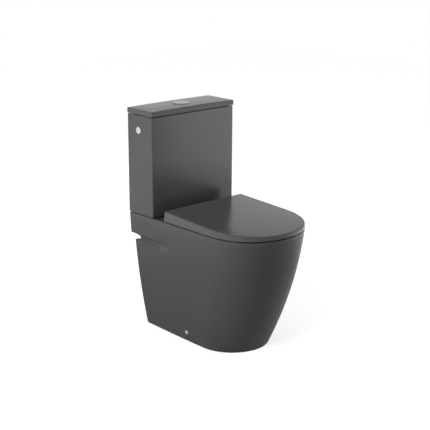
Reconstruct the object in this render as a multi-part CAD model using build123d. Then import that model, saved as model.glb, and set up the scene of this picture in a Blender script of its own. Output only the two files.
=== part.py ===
from build123d import *
import math
import os

# Close coupled toilet in millimetres.  X runs from the user's right to left
# when seated (the viewer's left to right facing the front), +Y towards the
# wall, +Z up.  The origin lies on the floor at the middle of the footprint.
# Depths are given as distances from the wall and turned into Y by from_wall.

# ---------------------------------------------------------------- overall
overall_depth = 580.0        # wall to the front of the pan
pan_height = 415.0           # floor to the top of the rim and deck
cistern_gap = 3.0            # shadow gap between deck and cistern
lid_gap = 3.0                # shadow gap between cistern and lid

# ---------------------------------------------------------------- pan skirt
rim_back_half_width = 178.0  # half width of the deck at the wall
rim_taper = 1.5              # the round front is this much narrower each side
toe_setback = 129.0          # the foot's front behind the rim's front
foot_half_width = 128.5      # radius of the round front at the floor
foot_back_half_width = 120.5
circle_pull = 0.5523         # handle of a quarter circle, as a share of r
rim_fullness = 0.044         # the rim's and seat's corners are a little fuller
side_bow = 0.45              # how far the side curve follows the round front
width_bulge = 0.54           # how early the width swells above the floor
reach_bulge = 0.62           # the same for the front and back edges
skirt_wall = 12.0
deck_thickness = 24.0
deck_hole_reach = 40.0       # its holes are cut this far below it
rim_edge_radius = 4.0
wall_setback = 20.0          # lower back edge stands off the skirting board
section_heights = (0.0, 0.2, 0.42, 0.66, 0.86, 1.0)

# pipe notch and the groove that runs forward from it
notch_top = 340.0            # upper edge of the notch at the wall
notch_nose = 334.0           # upper edge at its rounded nose
notch_bottom = 323.5
notch_depth = 42.0
notch_fall = 4.0             # the lower edge falls this much to its lip
groove_radius = 12.0
groove_depth = 8.0           # at the wall, fading to nothing at its end
groove_end = 205.0
groove_height = 329.5

# ---------------------------------------------------------------- bowl
bowl_half_width = 131.0
rim_front_width = 37.0       # rim's front to the bowl's mouth
bowl_back = 237.0
rim_depth = 32.0             # height of the rimless lip
channel_undercut = 12.0      # flush shelf behind the lip
channel_height = 31.0
bowl_wall = 10.0
sump_half_width = 44.0
sump_front = 400.0
sump_back = 312.0
sump_floor = 150.0
bowl_swell = ((0.2, 0.08), (0.37, 0.31), (0.57, 0.63), (0.79, 0.885))
bowl_reach = 0.8             # the front and back swell sooner than the sides

# ---------------------------------------------------------------- trap
trap_radius = 35.0
trap_wall = 10.0
trap_bend = 50.0
trap_path = ((352, 196), (290, 135), (220, 262), (150, 262), (120, 180))
outlet_radius = 51.0         # 102 mm spigot
outlet_height = 180.0
outlet_length = 60.0
outlet_setback = 25.0        # spigot end to wall

# ---------------------------------------------------------------- flush way
horn_depth = 64.5            # wall to the middle of the flush valve
horn_radius = 31.0
recess_radius = 52.0
recess_depth = 14.0
flush_way_half = 46.0
flush_way_wall = 10.0
flush_way_back = 30.0
flush_way_floor = 346.0

# ---------------------------------------------------------------- cistern
cistern_width = 363.0
cistern_depth = 129.0
cistern_height = 338.5
cistern_wall = 10.0
cistern_floor = 12.0
cistern_corner_radius = 4.0
cistern_edge_radius = 3.0
side_hole_radius = 11.0
side_hole_drop = 50.0        # cistern top to the side supply holes
side_hole_depth = 59.0       # wall to the side supply holes

# cistern lid
lid_overhang = 2.0
lid_height = 18.5
lid_crown = 1.5
lid_plate = 9.0
lid_rim = 9.0
lid_edge_radius = 3.0
lid_lip = 5.0                # locating lip inside the cistern mouth
lid_lip_drop = 8.0
lid_lip_clearance = 2.5
lid_pad_size = 12.0

# ---------------------------------------------------------------- coupling
bolt_spacing = 164.0
bolt_radius = 4.0
bolt_hole_radius = 6.0
bolt_head_radius = 9.0
bolt_head_height = 5.0
bolt_length = 76.0
cone_washer_radius = 12.0
cone_washer_height = 6.0
plate_washer_radius = 13.0
plate_washer_height = 2.0
wing_nut_radius = 8.0
wing_nut_height = 10.0
wing_span = 34.0
wing_thickness = 3.0
thread_clearance = 0.06      # threads are drawn as plain running fits
gasket_radius = 50.0

# ---------------------------------------------------------------- flush valve
valve_tail_radius = 29.0
valve_bore_radius = 24.0
valve_tail_length = 36.0
valve_hole_radius = 31.0
valve_flange_radius = 43.0
valve_flange_height = 5.0
valve_washer_height = 3.0
valve_nut_radius = 38.0
valve_nut_height = 12.0
valve_seat_height = 3.0
cage_radius = 36.0
cage_height = 70.0
cage_wall = 2.5
cage_window_width = 30.0
tower_radius = 26.0
tower_height = 112.0
tower_plate_radius = 32.0
tower_plate_height = 4.0
tube_radius = 15.0
tube_wall = 1.5
tube_clearance = 0.4
tube_rise = 32.0             # tube top above the tower plate
seal_radius = 30.0
seal_height = 4.0

# dual flush levers
press_arm = 13.0             # lever pin to the push rods
lift_arm = 26.0              # lever pin to the lever noses
lever_half_width = 4.0
lever_radius = 5.0
nose_radius = 3.0
lever_gap = 0.5
pin_radius = 2.0
post_width = 6.0
bracket_foot_height = 3.0
bracket_foot_margin = 7.0    # the foot reaches past the posts
post_spread = 52.0           # between the lever posts
cross_bar_height = 4.0
cross_bar_width = 10.0
half_bar_clearance = 11.4    # the bar stands off the half lever's nose
pin_above_tube = 24.5

# ---------------------------------------------------------------- fill valve
fill_shift = 6.75            # from midway between bolt and side, inwards
fill_depth = 62.0            # wall to the fill valve
fill_hole_radius = 12.0
shank_radius = 10.4
shank_bore = 6.0
shank_length = 52.0
fill_flange_radius = 17.0
fill_flange_height = 4.0
fill_washer_height = 3.0
fill_nut_radius = 17.0
fill_nut_height = 9.0
riser_radius = 11.0
riser_height = 200.0
fill_head_radius = 17.0
fill_head_height = 30.0
ear_rise = 8.0               # head top to the float lever's pin
ear_width = 10.0
ear_thickness = 3.0
float_radius = 27.0
float_height = 66.0
float_wall = 2.5
float_rest = 60.0            # float bottom above the flange at the low end
link_radius = 1.5
float_arm = 22.0             # lever pivot to the link rod
float_lever_width = 8.0
float_lever_thickness = 3.0
float_travel = 12.0
knob_gap = 3.1               # lever's middle to the knob and the collar

# side supply plugs and deck openings
plug_head_radius = 12.0
plug_head_height = 1.9
plug_stem_radius = 10.6
plug_nut_radius = 16.0
plug_nut_height = 7.0
supply_opening_width = 50.0
supply_opening_depth = 70.0

# ---------------------------------------------------------------- floor fixing
fixing_depth = 243.0         # wall to the side screws
fixing_height = 32.0
fixing_hole_radius = 4.5
fixing_recess_radius = 7.4
fixing_recess_depth = 3.0
cap_radius = 7.0
cap_height = 3.0
side_screw_radius = 3.0
side_screw_head = 6.0
side_screw_length = 26.0
bracket_plate = 7.0
bracket_height = 52.0
bracket_length = 70.0
bracket_foot = 38.0
bracket_foot_height = 7.0
floor_hole_radius = 3.5
floor_hole_spacing = 44.0
bracket_gap = 1.0

# ---------------------------------------------------------------- seat
seat_lift = 4.0              # pan rim to the underside of cover and ring
cover_overhang = 0.0         # cover's side beyond the deck's side
cover_taper = 3.0            # each side leans in over the back height
cover_tail = 11.5            # the cover reaches this far behind the hinge
cover_back_height = 33.8     # height of the cover at its back edge
cover_slope = 0.0488         # fall of the top towards the front
cover_wall = 4.0
cover_edge_radius = 5.0
cover_corner_radius = 7.0
ring_inset = 6.5             # ring inside the cover's outline
ring_gap = 2.0               # under the cover's inner face
ring_edge_radius = 2.5
ring_setback = 24.5          # hinge axis to the ring's full thickness
tongue_drop = 3.0            # hinge tongue below the hinge axis
ring_hole_half_width = 105.0
ring_front_width = 60.0
ring_back_width = 48.0
buffer_radius = 7.0
buffer_inset = 30.0          # cover's side to the buffers
buffer_turn = 38.0           # of the front buffers round the cover's front

# seat hinge
hinge_depth = 189.5          # wall to the hinge axis
hinge_height = 23.5          # deck to the hinge axis
hinge_spacing = 155.0
hinge_pin_radius = 3.5
hinge_clearance = 0.05
hinge_pin_reach = 18.0       # each side of the post
hinge_post_width = 16.0
hinge_post_radius = 6.0
hinge_foot_radius = 12.0
hinge_foot_height = 3.5
hinge_lug_radius = 6.0
hinge_lug_width = 17.0
hinge_side_gap = 1.0
hinge_stud_radius = 4.0
hinge_stud_length = 58.0
hinge_hole_radius = 7.0

# ---------------------------------------------------------------- fits
rest_gap = 0.3               # between a rest pad and what it rests on
running_clearance = 0.06

# ---------------------------------------------------------------- buttons
housing_radius = 28.5
housing_stand = 2.5          # flange top above the lid
cup_radius = 26.7
cup_wall = 1.3
cup_depth = 24.0
cup_floor = 2.0
lid_hole_radius = 27.0
housing_nut_radius = 33.0
housing_nut_height = 8.0
button_radius = 25.1
button_height = 9.0
button_stand = 0.8           # button face above the flange
button_split = 9.0           # split line to the right of the middle
split_gap = 0.6
push_rod_radius = 3.0
full_rod_x = -12.0
half_rod_x = 16.0

# ------------------------------------------------- places that follow
wall_y = overall_depth / 2
foot_front = overall_depth - toe_setback
bowl_front = overall_depth - rim_front_width
fill_offset = (bolt_spacing + cistern_width) / 4 - fill_shift
rim_half_width = rim_back_half_width - rim_taper
cover_half_width = rim_back_half_width + cover_overhang
cover_back = hinge_depth - cover_tail
ring_back = hinge_depth + ring_setback
ring_hole_front = overall_depth - ring_front_width
ring_hole_back = ring_back + ring_back_width
deck_under = pan_height - deck_thickness
cistern_base = pan_height + cistern_gap
cistern_top = cistern_base + cistern_height
floor_level = cistern_base + cistern_floor
lid_base = cistern_top + lid_gap
lid_top = lid_base + lid_height
valve_flange_top = floor_level + valve_washer_height + valve_flange_height
tower_plate_top = valve_flange_top + cage_height + tower_height
tube_top = tower_plate_top + tube_rise
lever_axis_z = tube_top + pin_above_tube
fill_flange_top = floor_level + fill_washer_height + fill_flange_height
lever_z = fill_flange_top + riser_height + fill_head_height + ear_rise
fill_y = wall_y - fill_depth
button_y = wall_y - horn_depth
side_hole_z = cistern_top - side_hole_drop
seat_base = pan_height + seat_lift
hinge_axis_z = pan_height + hinge_height


def from_wall(distance):
    return wall_y - distance


def swell(level, bulge):
    return level + bulge * level * (1 - level)


def round_front(r, centre_y, fullness):
    """Front of a section: two quarter curves, a circle where fullness is 0."""
    pull = (circle_pull + fullness) * r
    nose = (0, centre_y - r)
    return [
        Bezier((-r, centre_y), (-r, centre_y - pull), (-pull, centre_y - r), nose),
        Bezier(nose, (pull, centre_y - r), (r, centre_y - pull), (r, centre_y)),
    ]


def skirt_face(z, inset=0.0, past_wall=0.0):
    """D-shaped section of the skirt at height z, inset all round."""
    level = z / pan_height
    width = swell(level, width_bulge)
    reach = swell(level, reach_bulge)
    r = foot_half_width + (rim_half_width - foot_half_width) * width - inset
    front = foot_front + (overall_depth - foot_front) * reach
    back_half = (
        foot_back_half_width
        + (rim_back_half_width - foot_back_half_width) * reach
        - inset
    )
    centre_y = from_wall(front - r - inset)
    back_y = wall_y + past_wall
    bow_y = centre_y + side_bow * (wall_y - centre_y)
    outline = round_front(r, centre_y, rim_fullness * level) + [
        Bezier((r, centre_y), (r, bow_y), (back_half, back_y)),
        Line((back_half, back_y), (-back_half, back_y)),
        Bezier((-back_half, back_y), (-r, bow_y), (-r, centre_y)),
    ]
    return Pos(0, 0, z) * make_face(outline)


def egg_face(z, half_width, front, back):
    """Egg-shaped bowl section: round in front, elliptical behind."""
    centre_y = from_wall(front - half_width)
    rear = from_wall(back) - centre_y
    outline = [
        CenterArc((0, centre_y), half_width, start_angle=180, arc_size=180),
        EllipticalCenterArc((0, centre_y), half_width, rear, start_angle=0, arc_size=180),
    ]
    return Pos(0, 0, z) * make_face(outline)


def bowl_level(height):
    """Height above the floor of a share of the bowl's depth."""
    shelf_z = pan_height - rim_depth - channel_height
    return sump_floor + height * (shelf_z - sump_floor)


def bowl_face(z, share, grow):
    """Section of the bowl, from the sump's (share 0) to the mouth's (1)."""
    reach = share**bowl_reach
    half = sump_half_width + share * (bowl_half_width - sump_half_width)
    front = sump_front + reach * (bowl_front - sump_front)
    back = sump_back - reach * (sump_back - bowl_back)
    return egg_face(z, half + grow, front + grow, back - grow)


def ring_of(outer, inner, height):
    """Plain annular solid standing on z = 0."""
    return extrude(Circle(outer) - Circle(inner), height)


def rounded_box(x, y, z, radius):
    """Box standing on z = 0 with rounded upright edges."""
    return extrude(RectangleRounded(x, y, radius), z)


def pair(shape):
    """The shape and its mirror image across the middle plane."""
    return [shape, mirror(shape, Plane.YZ)]


def save(name, *shapes):
    """Write one node, whose loose solids share the file."""
    solids = [solid for shape in shapes for solid in shape.solids()]
    node = solids[0] if len(solids) == 1 else Compound(children=solids)
    node.label = name
    export_step(node, os.path.join("parts", name + ".step"))


# ======================================================================== pan
def make_trap(radius):
    """Pipe from the sump over the weir to the outlet spigot."""
    points = [(0, from_wall(distance), z) for distance, z in trap_path]
    points.append((0, from_wall(outlet_setback), outlet_height))
    path = FilletPolyline(*points, radius=trap_bend)
    start = Plane(path @ 0, z_dir=path % 0)
    return sweep(start * Circle(radius), path)


def make_groove():
    """Tapering finger groove along one side, deepest at the pipe notch."""
    level = groove_height / pan_height
    reach = swell(level, reach_bulge)
    half = foot_back_half_width + (rim_back_half_width - foot_back_half_width) * reach
    near = Vector(half + groove_radius - groove_depth, wall_y, groove_height)
    beside = side_half_width(groove_height, from_wall(groove_end))
    far = Vector(beside + groove_radius, from_wall(groove_end), groove_height)
    run = far - near
    base = Plane(near, z_dir=run)
    tool = extrude(base * Circle(groove_radius), run.length)
    return tool + Pos(*far) * Sphere(groove_radius)


def make_notch():
    """Side outline of the pipe notch and of all behind the lower back edge."""
    outside = wall_y + 1
    radius = (notch_nose - notch_bottom) / 2
    nose = (from_wall(notch_depth), notch_bottom + radius)
    nose_top = (from_wall(notch_depth - radius), notch_nose)
    nose_bottom = (from_wall(notch_depth - radius), notch_bottom)
    lip = (from_wall(wall_setback), notch_bottom - notch_fall)
    outline = [
        Bezier(
            (outside, notch_top),
            (from_wall(notch_depth * 0.35), notch_top - 1),
            (from_wall(notch_depth * 0.7), notch_nose + 3),
            nose_top,
        ),
        ThreePointArc(nose_top, nose, nose_bottom),
        Polyline(nose_bottom, lip, (lip[0], -1), (outside, -1), (outside, notch_top)),
    ]
    return make_face(outline)


def make_pan():
    body = loft([skirt_face(level * pan_height) for level in section_heights])
    rim_edge = body.edges().group_by(Axis.Z)[-1]
    body = fillet(rim_edge.sort_by(Axis.Y)[:-1], rim_edge_radius)

    # hollow underside, open at the floor and at the back
    levels = [-0.02] + list(section_heights[1:-1])
    faces = [skirt_face(level * pan_height, skirt_wall, 30) for level in levels]
    faces.append(skirt_face(deck_under, skirt_wall, 30))
    body -= loft(faces)

    # bowl shell, flush way and trap inside the skirt
    lip_z = pan_height - rim_depth
    shelf_z = lip_z - channel_height
    w = bowl_wall
    u = channel_undercut
    outside = [(sump_floor - w, 0.0)]
    outside += [(bowl_level(height), share) for height, share in bowl_swell]
    shell = loft(
        [bowl_face(z, share, w) for z, share in outside]
        + [bowl_face(z, 1.0, w + u) for z in (shelf_z, deck_under + 1)]
    )
    way_length = horn_depth - flush_way_back
    way_half = flush_way_half + flush_way_wall
    way_shell = Pos(0, 0, flush_way_floor - flush_way_wall) * Box(
        2 * way_half,
        bowl_back - flush_way_back + flush_way_wall,
        deck_under - flush_way_floor + flush_way_wall + 1,
        align=(Align.CENTER, Align.MAX, Align.MIN),
    )
    way_shell = Pos(0, from_wall(flush_way_back - flush_way_wall), 0) * way_shell
    spigot = Pos(0, from_wall(outlet_setback), outlet_height) * Rot(90, 0, 0) * Cylinder(
        outlet_radius, outlet_length, align=(Align.CENTER, Align.CENTER, Align.MIN)
    )
    body += [shell, way_shell, make_trap(trap_radius + trap_wall), spigot]

    # water passages
    mouth = extrude(bowl_face(lip_z - 1, 1.0, 0.0), rim_depth + 2)
    channel = extrude(bowl_face(shelf_z, 1.0, u), channel_height)
    inside = [(sump_floor, 0.0)]
    inside += [(bowl_level(height), share) for height, share in bowl_swell]
    inside.append((shelf_z + 0.5, 1.0))
    cavity = loft([bowl_face(z, share, 0.0) for z, share in inside])
    way = Pos(0, from_wall(flush_way_back), flush_way_floor) * Box(
        2 * flush_way_half,
        bowl_back - flush_way_back + 4,
        lip_z - flush_way_floor,
        align=(Align.CENTER, Align.MAX, Align.MIN),
    )
    horn = Pos(0, from_wall(horn_depth), lip_z - 1) * Cylinder(
        horn_radius, rim_depth + 2, align=(Align.CENTER, Align.CENTER, Align.MIN)
    )
    recess = Pos(0, from_wall(horn_depth), pan_height - recess_depth) * Cylinder(
        recess_radius, recess_depth + 1, align=(Align.CENTER, Align.CENTER, Align.MIN)
    )
    body -= [mouth, channel, cavity, make_trap(trap_radius), way, horn, recess]

    # deck holes
    cut_from = deck_under - deck_hole_reach
    cut = pan_height + 1 - cut_from
    for x in (-1, 1):
        bolt = Pos(x * bolt_spacing / 2, from_wall(horn_depth), cut_from)
        hinge = Pos(x * hinge_spacing / 2, from_wall(hinge_depth), cut_from)
        supply = Pos(x * fill_offset, from_wall(fill_depth), cut_from)
        up = (Align.CENTER, Align.CENTER, Align.MIN)
        body -= bolt * Cylinder(bolt_hole_radius, cut, align=up)
        body -= hinge * Cylinder(hinge_hole_radius, cut, align=up)
        body -= supply * rounded_box(
            supply_opening_width, supply_opening_depth, cut, 12
        )

    # setback of the lower back edge, pipe notch and grooves
    span = 2 * rim_back_half_width + 40
    body -= extrude(Plane.YZ.offset(-span / 2) * make_notch(), span)
    body -= pair(make_groove())

    # side screw holes with their cap recesses
    for x in (-1, 1):
        across = Pos(0, from_wall(fixing_depth), fixing_height) * Rot(0, 90 * x, 0)
        start = Align.CENTER, Align.CENTER, Align.MIN
        body -= across * Cylinder(
            fixing_hole_radius, rim_back_half_width, align=start
        )
        body -= across * Pos(0, 0, fixing_half_width() - fixing_recess_depth) * Cylinder(
            fixing_recess_radius, 20, align=start
        )
    return body


def side_half_width(z, y):
    """Half width of the skirt's outside at height z and depth y."""
    probe = Line((0, y, z), (rim_back_half_width + 10, y, z))
    return (probe & skirt_face(z)).edges()[0].length


def skirt_half_width(z):
    return side_half_width(z, from_wall(fixing_depth))


def fixing_half_width():
    return skirt_half_width(fixing_height)


# ==================================================================== cistern
def stand(radius, height):
    """Cylinder standing on its base."""
    return Cylinder(radius, height, align=(Align.CENTER, Align.CENTER, Align.MIN))


def hang(radius, height):
    """Cylinder hanging from its top face."""
    return Cylinder(radius, height, align=(Align.CENTER, Align.CENTER, Align.MAX))


def make_cistern():
    middle = from_wall(cistern_depth / 2)
    block = rounded_box(cistern_width, cistern_depth, cistern_height, cistern_corner_radius)
    block = fillet(block.edges().group_by(Axis.Z)[0], cistern_edge_radius)
    inside = rounded_box(
        cistern_width - 2 * cistern_wall,
        cistern_depth - 2 * cistern_wall,
        cistern_height,
        cistern_corner_radius + 4,
    )
    tank = Pos(0, middle, cistern_base) * (block - Pos(0, 0, cistern_floor) * inside)
    tank = chamfer(tank.faces().sort_by(Axis.Z)[-1].outer_wire().edges(), 0.8)
    holes = [Pos(0, from_wall(horn_depth), cistern_base - 1) * stand(valve_hole_radius, 20)]
    fill = Pos(fill_offset, from_wall(fill_depth), cistern_base - 1)
    holes.append(fill * stand(fill_hole_radius, 20))
    for x in (-1, 1):
        bolt = Pos(x * bolt_spacing / 2, from_wall(horn_depth), cistern_base - 1)
        holes.append(bolt * stand(bolt_hole_radius, 20))
        side = Pos(x * cistern_width / 2, from_wall(side_hole_depth), side_hole_z)
        holes.append(side * Rot(0, 90, 0) * Cylinder(side_hole_radius, 3 * cistern_wall))
    return tank - holes


def make_lid():
    """Hollow lid with a faintly crowned top and a lip inside the tank."""
    length = cistern_width + 2 * lid_overhang
    width = cistern_depth + lid_overhang
    middle = from_wall(width / 2)
    flat = lid_height - lid_crown
    slab = rounded_box(length, width, lid_height + 4, cistern_corner_radius)
    crown_radius = (length**2 / 4 + lid_crown**2) / (2 * lid_crown)
    dome = Pos(0, 0, lid_height - crown_radius) * Rot(90, 0, 0) * Cylinder(
        crown_radius, width + 40
    )
    slab &= dome
    edges = slab.faces().sort_by(Axis.Z)[-1].edges()
    slab = fillet(edges, lid_edge_radius)
    inner = rounded_box(length - 2 * lid_rim, width - 2 * lid_rim, flat - lid_plate, 6)
    slab -= inner
    lid = Pos(0, middle, lid_base) * slab
    mouth_x = cistern_width - 2 * cistern_wall - 2 * lid_lip_clearance
    mouth_y = cistern_depth - 2 * cistern_wall - 2 * lid_lip_clearance
    lip_height = lid_lip_drop + flat - lid_plate
    lip = rounded_box(mouth_x, mouth_y, lip_height, 6)
    lip -= rounded_box(mouth_x - 2 * lid_lip, mouth_y - 2 * lid_lip, lip_height, 3)
    lid += Pos(0, from_wall(cistern_depth / 2), lid_base - lid_lip_drop) * lip
    hole = Pos(0, button_y, lid_base) * stand(lid_hole_radius, lid_height + 5)
    return lid - hole


def make_lid_pads():
    """Rubber rests under the lid, on the tank's wall tops."""
    x = cistern_width / 2 - cistern_wall / 2
    spots = [(x, from_wall(cistern_depth * 0.25)), (x, from_wall(cistern_depth * 0.75))]
    pad = Box(
        cistern_wall - 4,
        lid_pad_size,
        lid_gap - rest_gap,
        align=(Align.CENTER, Align.CENTER, Align.MAX),
    )
    pads = [Pos(px, py, lid_base) * pad for px, py in spots]
    return pads + [mirror(p, Plane.YZ) for p in pads]


# =================================================================== coupling
def make_gasket():
    """Doughnut seal that fills the deck recess round the valve's nut."""
    height = recess_depth + cistern_gap
    ring = ring_of(gasket_radius, valve_tail_radius + 1.5, height)
    pocket = valve_nut_height + 0.5
    ring -= Pos(0, 0, height - pocket) * stand(valve_nut_radius + 1, pocket + 1)
    ring = chamfer(ring.edges().group_by(Axis.Z)[0].sort_by(SortBy.LENGTH)[-1], 1.5)
    return Pos(0, from_wall(horn_depth), pan_height - recess_depth) * ring


def wing_nut(bore):
    """Nut with two flat wings, its top face at z = 0."""
    hub = hang(wing_nut_radius, wing_nut_height)
    wings = Box(
        wing_span,
        wing_thickness,
        wing_nut_height * 1.2,
        align=(Align.CENTER, Align.CENTER, Align.MAX),
    )
    tips = wings.edges().filter_by(Axis.Y).group_by(Axis.Z)[0]
    wings = Pos(0, 0, -3) * fillet(tips, 4)
    return hub + wings - hang(bore, 3 * wing_nut_height)


def make_coupling():
    """Bolts, washers and wing nuts that clamp the cistern to the pan."""
    x = bolt_spacing / 2
    y = from_wall(horn_depth)
    washer_top = floor_level + cone_washer_height
    bolt = stand(bolt_head_radius, bolt_head_height) + hang(bolt_radius, bolt_length)
    bolt = chamfer(bolt.edges().group_by(Axis.Z)[-1], 1.2)
    bolts = Pos(x, y, washer_top) * bolt
    cone = Cone(
        cone_washer_radius,
        cone_washer_radius - 3,
        cone_washer_height,
        align=(Align.CENTER, Align.CENTER, Align.MIN),
    )
    cone -= stand(bolt_radius + thread_clearance, cone_washer_height)
    cones = Pos(x, y, floor_level) * cone
    plate = hang(plate_washer_radius, plate_washer_height)
    plate -= hang(bolt_radius + thread_clearance, plate_washer_height)
    plates = Pos(x, y, deck_under) * plate
    nut = wing_nut(bolt_radius + thread_clearance)
    nuts = Pos(x, y, deck_under - plate_washer_height) * nut
    save("coupling_bolts", *pair(bolts))
    save("coupling_cone_washers", *pair(cones))
    save("coupling_plate_washers", *pair(plates))
    save("coupling_wing_nuts", *pair(nuts))


# ================================================================ flush valve
def make_flush_valve():
    """Threaded tail, flange, seat, slotted cage and guide tower."""
    top = valve_flange_top - floor_level
    tail = ring_of(valve_tail_radius, valve_bore_radius, valve_tail_length + top)
    body = Pos(0, 0, top - valve_tail_length - top) * tail
    flange = ring_of(valve_flange_radius, valve_bore_radius, valve_flange_height)
    body += Pos(0, 0, valve_washer_height) * flange
    seat = ring_of(valve_bore_radius + 3, valve_bore_radius, valve_seat_height)
    body += Pos(0, 0, top) * seat
    w = cage_wall
    shoulder = top + cage_height
    end = shoulder + tower_height
    profile = Polyline(
        (cage_radius - w, top - 1),
        (cage_radius, top - 1),
        (cage_radius, shoulder - 4),
        (cage_radius - 4, shoulder),
        (tower_radius, shoulder + 6),
        (tower_radius, end - tower_plate_height),
        (tower_plate_radius, end - tower_plate_height),
        (tower_plate_radius, end),
        (tube_radius + tube_clearance, end),
        (tube_radius + tube_clearance, end - tower_plate_height),
        (tower_radius - w, end - tower_plate_height),
        (tower_radius - w, shoulder + 6 - w),
        (cage_radius - w, shoulder - 4),
        (cage_radius - w, top - 1),
    )
    body += revolve(make_face(Plane.XZ * profile), Axis.Z)
    low = Box(
        3 * cage_radius,
        cage_window_width,
        cage_height * 0.55,
        align=(Align.CENTER, Align.CENTER, Align.MIN),
    )
    high = Box(
        3 * cage_radius,
        tower_radius,
        tower_height * 0.6,
        align=(Align.CENTER, Align.CENTER, Align.MIN),
    )
    for turn in (45, 135):
        body -= Rot(0, 0, turn) * Pos(0, 0, top + cage_height * 0.15) * low
        body -= Rot(0, 0, turn) * Pos(0, 0, shoulder + tower_height * 0.2) * high
    return Pos(0, button_y, floor_level) * body


def make_flush_valve_fittings():
    washer = ring_of(valve_flange_radius - 1, valve_tail_radius + 0.1, valve_washer_height)
    save("flush_valve_washer", Pos(0, button_y, floor_level) * washer)
    nut = hang(valve_nut_radius, valve_nut_height)
    nut -= hang(valve_tail_radius + thread_clearance, valve_nut_height)
    grip = Pos(valve_nut_radius + 1, 0, 0) * hang(3, valve_nut_height)
    for k in range(12):
        nut -= Rot(0, 0, 30 * k) * grip
    save("flush_valve_nut", Pos(0, button_y, cistern_base) * nut)


def make_lever_bracket():
    """Two posts on the tower plate that hold the lever pin."""
    x = post_spread / 2
    rise = lever_axis_z - tower_plate_top
    post = Box(
        post_width,
        2 * lever_radius,
        rise,
        align=(Align.CENTER, Align.CENTER, Align.MIN),
    )
    eye = Pos(0, 0, rise) * Rot(0, 90, 0) * Cylinder(lever_radius, post_width)
    bore = Pos(0, 0, rise) * Rot(0, 90, 0) * Cylinder(
        pin_radius + thread_clearance / 2, post_width + 2
    )
    posts = pair(Pos(x + post_width / 2, button_y - press_arm, 0) * (post + eye - bore))
    foot = ring_of(tower_plate_radius, tower_radius, bracket_foot_height)
    foot_width = 2 * (lever_radius + bracket_foot_margin)
    ends = Box(4 * x, foot_width, 3 * bracket_foot_height)
    foot &= Pos(0, -press_arm, 0) * ends
    foot = Pos(0, button_y, 0) * foot
    return Pos(0, 0, tower_plate_top) * (foot + posts)


def make_lever(x):
    """Rocking lever: the rod presses one end, the nose lifts the cross bar."""
    across = Rot(0, 90, 0)
    taper = Polyline(
        (press_arm + 3, lever_radius),
        (-lever_radius, lever_radius),
        (-lift_arm / 2, nose_radius),
        (-lift_arm, nose_radius),
        (-lift_arm, -nose_radius),
        (-lever_radius, -lever_radius),
        (press_arm + 3, -lever_radius),
        (press_arm + 3, lever_radius),
    )
    side = make_face(Plane.YZ * taper)
    body = extrude(side, lever_half_width, both=True)
    body += Pos(0, -lift_arm, 0) * across * Cylinder(nose_radius, 2 * lever_half_width)
    body -= across * Cylinder(pin_radius + running_clearance, 4 * lever_half_width)
    return Pos(x, button_y - press_arm, lever_axis_z) * body


def cross_bar(rod_x, z, reach):
    """Half of the cross bar, from the leg to past one lever's nose."""
    side = math.copysign(1, rod_x)
    length = abs(rod_x) + lever_half_width + 2
    bar = Pos(side * length / 2, -reach - 5, z) * Box(
        length,
        cross_bar_width,
        cross_bar_height,
        align=(Align.CENTER, Align.MIN, Align.MIN),
    )
    tip = bar.faces().sort_by(Axis.X)[-1 if side > 0 else 0]
    return fillet(tip.edges().filter_by(Axis.Z), 2)


def make_overflow_tube():
    """Lifting tube with its seal plate and the arm to the cross bar."""
    seal_top = valve_flange_top + valve_seat_height + rest_gap + seal_height
    tube = Pos(0, 0, seal_top) * stand(tube_radius, tube_top - seal_top)
    plate = Pos(0, 0, seal_top) * stand(seal_radius, 3)
    reach = press_arm + lift_arm
    arm_top = tube_top
    arm = Pos(0, 0, arm_top) * Box(
        2 * lever_half_width - 1,
        reach + 5,
        6,
        align=(Align.CENTER, Align.MAX, Align.MAX),
    )
    bar_z = lever_axis_z + nose_radius + lever_gap - 0.1
    leg = Pos(0, -reach - 5, arm_top - 6) * Box(
        2 * lever_half_width - 1,
        7,
        bar_z - arm_top + 6 + half_bar_clearance + cross_bar_height,
        align=(Align.CENTER, Align.MIN, Align.MIN),
    )
    bar = cross_bar(full_rod_x, bar_z, reach)
    bar += cross_bar(half_rod_x, bar_z + half_bar_clearance, reach)
    bore_top = tube_top - seal_top + 20
    bore = Pos(0, 0, seal_top - 10) * stand(tube_radius - tube_wall, bore_top)
    return Pos(0, button_y, 0) * (tube + plate + arm + leg + bar - bore)


def make_flush_seal():
    base = valve_flange_top + valve_seat_height + rest_gap
    return Pos(0, button_y, base) * ring_of(seal_radius - 1, tube_radius - tube_wall, seal_height)


# ================================================================= fill valve
def make_fill_valve():
    """Threaded shank, flange, riser column and head with lever ears."""
    tail = hang(shank_radius, shank_length)
    flange = hang(fill_flange_radius, fill_flange_height)
    riser = stand(riser_radius, riser_height)
    head = Pos(0, 0, riser_height) * stand(fill_head_radius, fill_head_height)
    head = fillet(head.edges().group_by(Axis.Z)[-1], 3)
    body = tail + flange + riser + head
    relief_z = -fill_flange_height - fill_washer_height - cistern_floor - fill_nut_height
    relief = ring_of(shank_radius + 1, shank_radius - 0.8, 1)
    body -= Pos(0, 0, relief_z - 1) * relief
    body -= Pos(0, 0, 20) * hang(shank_bore, shank_length + 30)
    top = riser_height + fill_head_height
    ear = Pos(0, 0, top - 2) * Box(
        ear_width,
        ear_thickness,
        ear_rise + 6,
        align=(Align.CENTER, Align.CENTER, Align.MIN),
    )
    gap = float_lever_width / 2 + 0.5
    hole = Pos(0, 0, top + ear_rise) * Rot(90, 0, 0) * Cylinder(
        pin_radius + running_clearance, 40
    )
    for side in (-1, 1):
        body += Pos(0, side * (gap + ear_thickness / 2), 0) * ear
    body -= hole
    return Pos(fill_offset, fill_y, fill_flange_top) * body


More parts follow.
